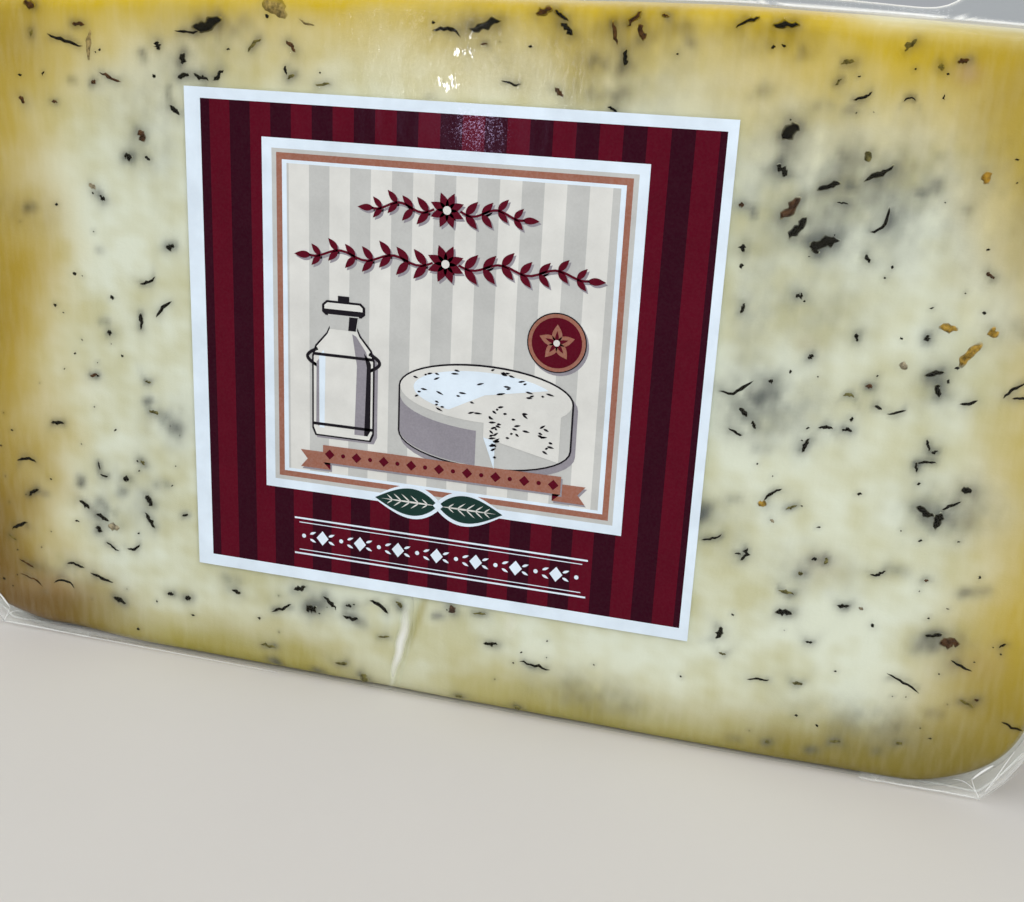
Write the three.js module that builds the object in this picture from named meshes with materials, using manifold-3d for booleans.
// A slab of herb cheese in a clear vacuum bag, with a paper label on its front.
// Millimetres. X runs along the slab, Y into its depth, Z up. The origin is at the middle of the
// pack's footprint, on the surface that the slab stands on. The labelled front faces -Y.

import * as THREE from "three";
import { mergeVertices } from "three/addons/utils/BufferGeometryUtils.js";
import Module from "manifold-3d";

const wasm = await Module();
wasm.setup();

// The slab in its bag
const SLAB_WIDTH = 216;
const SLAB_HEIGHT = 133; // at the middle of the crowned top
const SLAB_DEPTH = 52;
const CROWN_DROP = 3.7; // how far the top has fallen where it would meet the two ends
const CORNER_RADIUS = 20;
const FRONT_EDGE_RADIUS = 2.5;
const BACK_EDGE_RADIUS = 6;
const FRONT_EDGE_STEPS = 3;
const BACK_EDGE_STEPS = 4;
const CORNER_STEPS = 8;
const CROWN_STEPS = 12;

// The label, a thin sheet that stands clear of the bag
const LABEL_WIDTH = 99;
const LABEL_HEIGHT = 92.7;
const LABEL_THICKNESS = 0.25;
const LABEL_GAP = 0.3;
const LABEL_MIDDLE_X = -3;
const LABEL_BOTTOM_Z = 22.7;

// The bag's welded margin, which stands up along the top and both ends just behind the front
const MARGIN_REACH = 8;
const MARGIN_THICKNESS = 0.8;
const MARGIN_SETBACK = 3; // from the front to the margin
const MARGIN_LIFT = 0.35; // the two lower tips stay this far above the table
const MARGIN_ROOT = 3; // how far its outline runs inside the slab
const MARGIN_TIP_X = 101;
const MARGIN_WAVE = 0.8;
const MARGIN_WAVE_LENGTH = 46;
const MARGIN_STEPS = 30;
const DIP_X = 64; // a slack stretch where the margin's free edge hangs low
const DIP_HALF_WIDTH = 13;
const DIP_DEPTH = 6;

// One vertical crease of gathered film below the label
const CREASE_TOP = { x: -8.5, z: 21.5 };
const CREASE_BOTTOM = { x: -10.8, z: 1.6 };
const CREASE_WIDTH = 2.4;
const CREASE_HEIGHT = 0.8;

// Herb flakes, in low relief under the film
const FLAKE_RELIEF = 0.35;
const FLAKE_ROOT = 0.6;
const FLAKE_TIP_SHARE = 0.25;
const FLAKE_LEAST_WIDTH = 0.9;
const FLAKE_CLEARANCE = 1.2;
const FLAKE_TRIES = 60; // for each flake that the rule places

// The largest flakes of the front: x, z, length, width, turn and bend in degrees
const FRONT_FLAKES = [
  [-49, 126, 8.5, 2.2, 12, 10],
  [-35, 128, 5.5, 2.6, -35, 0],
  [-77, 122, 7.5, 0.9, -17, 10],
  [-72, 121, 6.5, 1.1, 92, 0],
  [-68, 116, 5.5, 1.2, -20, 10],
  [-51, 117.5, 6, 1.4, -20, 40],
  [-62, 106, 2.6, 2.2, 60, 0],
  [-71, 94, 2.6, 1.6, -50, 0],
  [-61, 79, 4.2, 1, 30, 50],
  [-59, 73, 5, 1.2, 48, -20],
  [-64, 70, 3.8, 1.4, 85, 0],
  [0, 126, 11.5, 2, 8, -15],
  [16, 128, 6, 1.2, -40, 30],
  [27, 123, 5, 1.4, -85, 0],
  [46, 128, 4.6, 1, 20, 20],
  [52, 127, 4.8, 1.4, -5, -10],
  [71, 126, 3.8, 1.6, 42, 0],
  [65, 120, 3.8, 0.9, 28, 40],
  [55, 114, 3.2, 2.8, 60, 0],
  [61, 106, 4.6, 1.2, 22, 0],
  [69, 109, 6, 1.1, 33, -45],
  [56, 102, 5, 2, 55, 0],
  [60, 96, 8, 3.2, -8, 20],
  [72, 101, 6.5, 0.9, 60, 80],
  [87, 81, 6, 2, 50, 0],
  [82, 76, 4.5, 1.8, -20, 0],
  [53, 71, 8, 1, 5, 35],
  [65, 64, 7, 0.9, 35, -40],
  [78, 69, 4, 0.9, 20, -40],
  [95, 75, 4.5, 1.4, 40, 0],
  [-95, 25, 4.6, 0.9, 10, -40],
  [-64, 35, 2.8, 1.8, -60, 0],
  [-64, 29, 4.8, 1.3, -68, 10],
  [-78, 31, 3.6, 1.4, -50, 0],
  [-68, 21, 3.8, 0.9, 25, 50],
  [-86, 13, 3.6, 1, 15, -60],
  [-76, 15, 5.2, 1.1, -28, 10],
  [-72, 10, 3.4, 1.7, -35, 0],
  [-36, 14, 4.8, 1, 15, 20],
  [-25, 17, 4, 1.6, -55, 0],
  [-18, 13, 4.4, 1.6, -20, 0],
  [85, 53, 6.5, 3.2, -25, 20],
  [91, 60, 5, 1.1, 35, 10],
  [59, 52, 5, 1.1, 35, -20],
  [55, 41, 4, 1.4, 55, 40],
  [63, 31, 3.4, 1.8, 0, 0],
  [52, 26, 3.6, 1.4, 80, 30],
  [18, 12, 7, 1, -15, 10],
  [60, 17, 5.4, 0.9, 5, 0],
  [84, 20, 7.5, 1, -22, -30],
  [92, 30, 6, 3.4, 10, 0],
];

const HALF_WIDTH = SLAB_WIDTH / 2;
const MIDDLE_Z = SLAB_HEIGHT / 2;
// The crease stands further out in front than the flakes do behind, so the slab sits back by half of that.
const FRONT_Y = -SLAB_DEPTH / 2 + (CREASE_HEIGHT - FLAKE_RELIEF) / 2;
const BACK_Y = FRONT_Y + SLAB_DEPTH;
const MIDDLE_Y = (FRONT_Y + BACK_Y) / 2;
const MARGIN_Y = FRONT_Y + MARGIN_SETBACK;

// The faces that bear flakes: where each one's middle is, its two directions, how far the rule
// spreads flakes along them, how many it places, the longest of them, and its seed
const FACES = {
  front: {
    middle: [0, FRONT_Y, MIDDLE_Z],
    across: [1, 0, 0],
    up: [0, 0, 1],
    reach: [94, 55],
    count: 46,
    longest: 4,
    seed: 7,
  },
  back: {
    middle: [0, BACK_Y, MIDDLE_Z],
    across: [-1, 0, 0],
    up: [0, 0, 1],
    reach: [92, 52],
    count: 92,
    longest: 8,
    seed: 23,
  },
  top: {
    middle: [0, MIDDLE_Y + 4, SLAB_HEIGHT],
    across: [1, 0, 0],
    up: [0, 1, 0],
    reach: [82, 13],
    count: 20,
    longest: 6,
    seed: 31,
  },
  right: {
    middle: [HALF_WIDTH, MIDDLE_Y + 4, MIDDLE_Z],
    across: [0, 1, 0],
    up: [0, 0, 1],
    reach: [13, 38],
    count: 12,
    longest: 6,
    seed: 43,
  },
  left: {
    middle: [-HALF_WIDTH, MIDDLE_Y + 4, MIDDLE_Z],
    across: [0, -1, 0],
    up: [0, 0, 1],
    reach: [13, 38],
    count: 12,
    longest: 6,
    seed: 59,
  },
};

const degrees = THREE.MathUtils.degToRad;

// Numbers from 0 to 1 that repeat from the same seed
function makeDraw(seed) {
  let state = seed;
  return () => {
    state = (Math.imul(1664525, state) + 1013904223) >>> 0;
    return state / 4294967296;
  };
}

function topAt(x) {
  return SLAB_HEIGHT - CROWN_DROP * (x / HALF_WIDTH) ** 2;
}

function crownSlope(x) {
  return Math.atan((2 * CROWN_DROP * x) / HALF_WIDTH ** 2);
}

// The slab's outline, anticlockwise seen from the front: places with their outward directions
function slabOutline() {
  const straight = HALF_WIDTH - CORNER_RADIUS;
  const slope = crownSlope(straight);
  const meetX = straight + CORNER_RADIUS * Math.sin(slope);
  const upperZ = topAt(meetX) - CORNER_RADIUS * Math.cos(slope);
  const places = [];
  const addArc = (x, z, from, to) => {
    for (let i = 0; i <= CORNER_STEPS; i += 1) {
      const angle = from + ((to - from) * i) / CORNER_STEPS;
      const nx = Math.cos(angle);
      const nz = Math.sin(angle);
      places.push({ x: x + CORNER_RADIUS * nx, z: z + CORNER_RADIUS * nz, nx, nz });
    }
  };
  addArc(straight, CORNER_RADIUS, -Math.PI / 2, 0);
  addArc(straight, upperZ, 0, Math.PI / 2 - slope);
  for (let i = 1; i < CROWN_STEPS; i += 1) {
    const x = meetX - (2 * meetX * i) / CROWN_STEPS;
    const lean = crownSlope(x);
    places.push({ x, z: topAt(x), nx: Math.sin(lean), nz: Math.cos(lean) });
  }
  addArc(-straight, upperZ, Math.PI / 2 + slope, Math.PI);
  addArc(-straight, CORNER_RADIUS, Math.PI, (3 * Math.PI) / 2);
  return places;
}

// The rings of the slab from its front to its back: how far each is drawn in, and its Y
function slabRings() {
  const rings = [];
  for (let i = 0; i <= FRONT_EDGE_STEPS; i += 1) {
    const angle = (Math.PI / 2) * (1 - i / FRONT_EDGE_STEPS);
    rings.push({
      inset: FRONT_EDGE_RADIUS * (1 - Math.cos(angle)),
      y: FRONT_Y + FRONT_EDGE_RADIUS * (1 - Math.sin(angle)),
    });
  }
  for (let i = 0; i <= BACK_EDGE_STEPS; i += 1) {
    const angle = ((Math.PI / 2) * i) / BACK_EDGE_STEPS;
    rings.push({
      inset: BACK_EDGE_RADIUS * (1 - Math.cos(angle)),
      y: BACK_Y - BACK_EDGE_RADIUS * (1 - Math.sin(angle)),
    });
  }
  return rings;
}

function slabGeometry() {
  const outline = slabOutline();
  const rings = slabRings();
  const count = outline.length;
  const positions = [];
  const faces = [];
  for (const ring of rings) {
    for (const place of outline) {
      positions.push(place.x - place.nx * ring.inset, ring.y, place.z - place.nz * ring.inset);
    }
  }
  for (let r = 0; r + 1 < rings.length; r += 1) {
    for (let i = 0; i < count; i += 1) {
      const a = r * count + i;
      const b = r * count + ((i + 1) % count);
      faces.push(a, a + count, b, b, a + count, b + count);
    }
  }
  const last = (rings.length - 1) * count;
  const flat = outline.map((place) => new THREE.Vector2(place.x, place.z));
  for (const [a, b, c] of THREE.ShapeUtils.triangulateShape(flat, [])) {
    faces.push(a, b, c);
    faces.push(last + a, last + c, last + b);
  }
  const geometry = new THREE.BufferGeometry();
  geometry.setAttribute("position", new THREE.Float32BufferAttribute(positions, 3));
  geometry.setIndex(faces);
  return geometry;
}

function solidFrom(geometry) {
  const bare = geometry.clone();
  bare.deleteAttribute("normal");
  bare.deleteAttribute("uv");
  const merged = mergeVertices(bare);
  return new wasm.Manifold(
    new wasm.Mesh({
      numProp: 3,
      vertProperties: new Float32Array(merged.attributes.position.array),
      triVerts: new Uint32Array(merged.index.array),
    }),
  );
}

function geometryFrom(solid) {
  const mesh = solid.getMesh();
  const geometry = new THREE.BufferGeometry();
  geometry.setAttribute("position", new THREE.BufferAttribute(mesh.vertProperties, 3));
  geometry.setIndex(new THREE.BufferAttribute(mesh.triVerts, 1));
  geometry.computeVertexNormals();
  return geometry;
}

function extruded(points, depth) {
  const shape = new THREE.Shape(points);
  return new THREE.ExtrudeGeometry(shape, { depth, bevelEnabled: false, steps: 1 });
}

// Sets a shape drawn in X and Y, and extruded along Z, upright with its front at a given Y
function standUpright(geometry, frontY, depth) {
  geometry.rotateX(Math.PI / 2);
  geometry.translate(0, frontY + depth, 0);
  return geometry;
}

// How far the welded margin stands out above the top at x
function marginReach(x) {
  const wave = MARGIN_WAVE * Math.sin((2 * Math.PI * x) / MARGIN_WAVE_LENGTH);
  const dip = DIP_DEPTH * Math.exp(-(((x - DIP_X) / DIP_HALF_WIDTH) ** 4));
  return MARGIN_REACH + wave - dip;
}

// One end of the margin's outline, from inside the slab's foot round the lower tip and up the end
function marginEnd(side) {
  const outer = HALF_WIDTH + MARGIN_REACH;
  const shoulderZ = topAt(HALF_WIDTH);
  const places = [
    [MARGIN_TIP_X - CORNER_RADIUS, MARGIN_ROOT],
    [MARGIN_TIP_X - 0.8 * CORNER_RADIUS, MARGIN_LIFT],
    [MARGIN_TIP_X, MARGIN_LIFT],
    [HALF_WIDTH - 3, 5],
    [HALF_WIDTH + 1, 11],
    [HALF_WIDTH + 4, 19],
    [outer - 1.5, 32],
    [outer, 52],
    [outer - 1.2, 76],
    [outer, 100],
    [outer - 0.6, shoulderZ - 4],
    [outer - 3, shoulderZ + 2.5],
    [HALF_WIDTH - 1, shoulderZ + MARGIN_REACH - 2],
  ];
  return places.map(([x, z]) => new THREE.Vector2(side * x, z));
}

function marginOutline() {
  const points = marginEnd(1);
  const span = HALF_WIDTH - 8;
  for (let i = 0; i <= MARGIN_STEPS; i += 1) {
    const x = span - (2 * span * i) / MARGIN_STEPS;
    points.push(new THREE.Vector2(x, topAt(x) + marginReach(x)));
  }
  points.push(...marginEnd(-1).reverse());
  return points;
}

function marginSolid() {
  const geometry = extruded(marginOutline(), MARGIN_THICKNESS);
  return solidFrom(standUpright(geometry, MARGIN_Y, MARGIN_THICKNESS));
}

// The gathered crease: a low rounded ridge that leans a little and ends at the bottom edge
function creaseSolid() {
  const half = CREASE_WIDTH / 2;
  const deep = -1;
  const section = [
    [-half, deep],
    [half, deep],
    [half, 0],
    [half * 0.4, CREASE_HEIGHT],
    [-half * 0.4, CREASE_HEIGHT],
    [-half, 0],
  ].map(([x, y]) => new THREE.Vector2(x, y));
  const run = Math.hypot(CREASE_TOP.x - CREASE_BOTTOM.x, CREASE_TOP.z - CREASE_BOTTOM.z);
  const geometry = extruded(section, run);
  const lean = Math.atan2(CREASE_TOP.x - CREASE_BOTTOM.x, CREASE_TOP.z - CREASE_BOTTOM.z);
  geometry.rotateZ(Math.PI);
  geometry.rotateY(lean);
  geometry.translate(CREASE_BOTTOM.x, FRONT_Y, CREASE_BOTTOM.z);
  return solidFrom(geometry);
}

// A flake seen from above: a strip along an arc, which narrows to a blunt tip at both ends
function flakeOutline(length, width, bend) {
  const steps = bend === 0 ? 3 : 4;
  const turnEach = degrees(bend) / steps;
  const near = [];
  const far = [];
  let x = 0;
  let y = 0;
  let heading = -degrees(bend) / 2;
  const middle = new THREE.Vector2();
  for (let i = 0; i <= steps; i += 1) {
    const swell = FLAKE_TIP_SHARE + (1 - FLAKE_TIP_SHARE) * Math.sin((Math.PI * i) / steps);
    const half = (width / 2) * swell;
    const at = heading + turnEach / 2;
    near.push(new THREE.Vector2(x + half * Math.sin(at), y - half * Math.cos(at)));
    if (i > 0 && i < steps) {
      far.unshift(new THREE.Vector2(x - half * Math.sin(at), y + half * Math.cos(at)));
    }
    middle.add(new THREE.Vector2(x, y));
    x += (length / steps) * Math.cos(at);
    y += (length / steps) * Math.sin(at);
    heading += turnEach;
  }
  middle.divideScalar(steps + 1);
  return [...near, ...far].map((point) => point.sub(middle));
}

function flakeSolid(face, flake) {
  const [u, v, length, width, turn, bend] = flake;
  const geometry = extruded(flakeOutline(length, width, bend), FLAKE_RELIEF + FLAKE_ROOT);
  geometry.translate(0, 0, -FLAKE_ROOT);
  geometry.rotateZ(degrees(turn));
  const across = new THREE.Vector3(...face.across);
  const up = new THREE.Vector3(...face.up);
  const out = new THREE.Vector3().crossVectors(across, up);
  const place = new THREE.Matrix4().makeBasis(across, up, out);
  const at = new THREE.Vector3(...face.middle).addScaledVector(across, u).addScaledVector(up, v);
  if (face === FACES.top) {
    at.z = topAt(u);
  }
  place.setPosition(at);
  geometry.applyMatrix4(place);
  return solidFrom(geometry);
}

// True where a flake of the front would come too near the label or the crease
function meetsFittings(u, v, length) {
  const z = v + MIDDLE_Z;
  const free = length / 2 + FLAKE_CLEARANCE;
  const overLabel =
    Math.abs(u - LABEL_MIDDLE_X) < LABEL_WIDTH / 2 + free &&
    z > LABEL_BOTTOM_Z - free &&
    z < LABEL_BOTTOM_Z + LABEL_HEIGHT + free;
  const overCrease = Math.abs(u - CREASE_BOTTOM.x) < CREASE_WIDTH + free && z < LABEL_BOTTOM_Z;
  return overLabel || overCrease;
}

// Flakes spread by a rule, the longest first, each clear of those before it
function spreadFlakes(face, placed) {
  const draw = makeDraw(face.seed);
  const flakes = [...placed];
  let left = face.count * FLAKE_TRIES;
  while (flakes.length < placed.length + face.count && left > 0) {
    left -= 1;
    const done = (flakes.length - placed.length) / face.count;
    const length = face.longest * (1 - 0.55 * done) * (0.85 + 0.3 * draw());
    const u = face.reach[0] * (2 * draw() - 1);
    const v = face.reach[1] * (2 * draw() - 1);
    const width = Math.max(FLAKE_LEAST_WIDTH, length * (0.16 + 0.3 * draw()));
    const turn = 140 * (draw() - 0.5);
    const bend = draw() < 0.4 ? 0 : 110 * (draw() - 0.5);
    const crowded = flakes.some(
      (other) => Math.hypot(other[0] - u, other[1] - v) < (other[2] + length) / 2 + FLAKE_CLEARANCE,
    );
    if (!crowded && !(face === FACES.front && meetsFittings(u, v, length))) {
      flakes.push([u, v, length, width, turn, bend]);
    }
  }
  return flakes;
}

function packSolid() {
  const solids = [solidFrom(slabGeometry()), marginSolid(), creaseSolid()];
  const seen = FRONT_FLAKES.map(([x, z, ...rest]) => [x, z - MIDDLE_Z, ...rest]);
  for (const face of Object.values(FACES)) {
    for (const flake of spreadFlakes(face, face === FACES.front ? seen : [])) {
      solids.push(flakeSolid(face, flake));
    }
  }
  return wasm.Manifold.union(solids);
}

function labelGeometry() {
  const left = LABEL_MIDDLE_X - LABEL_WIDTH / 2;
  const right = LABEL_MIDDLE_X + LABEL_WIDTH / 2;
  const top = LABEL_BOTTOM_Z + LABEL_HEIGHT;
  const corners = [
    new THREE.Vector2(left, LABEL_BOTTOM_Z),
    new THREE.Vector2(right, LABEL_BOTTOM_Z),
    new THREE.Vector2(right, top),
    new THREE.Vector2(left, top),
  ];
  const geometry = extruded(corners, LABEL_THICKNESS);
  return standUpright(geometry, FRONT_Y - LABEL_GAP - LABEL_THICKNESS, LABEL_THICKNESS);
}

const packMaterial = new THREE.MeshStandardMaterial({
  color: 0xcfcda6,
  roughness: 0.18,
  metalness: 0,
});
const labelMaterial = new THREE.MeshStandardMaterial({
  color: 0x5c1226,
  roughness: 0.35,
  metalness: 0,
});

const part = new THREE.Group();

const pack = new THREE.Mesh(geometryFrom(packSolid()), packMaterial);
pack.name = "cheese_pack";
part.add(pack);

const label = new THREE.Mesh(labelGeometry(), labelMaterial);
label.name = "label";
part.add(label);

export default part;
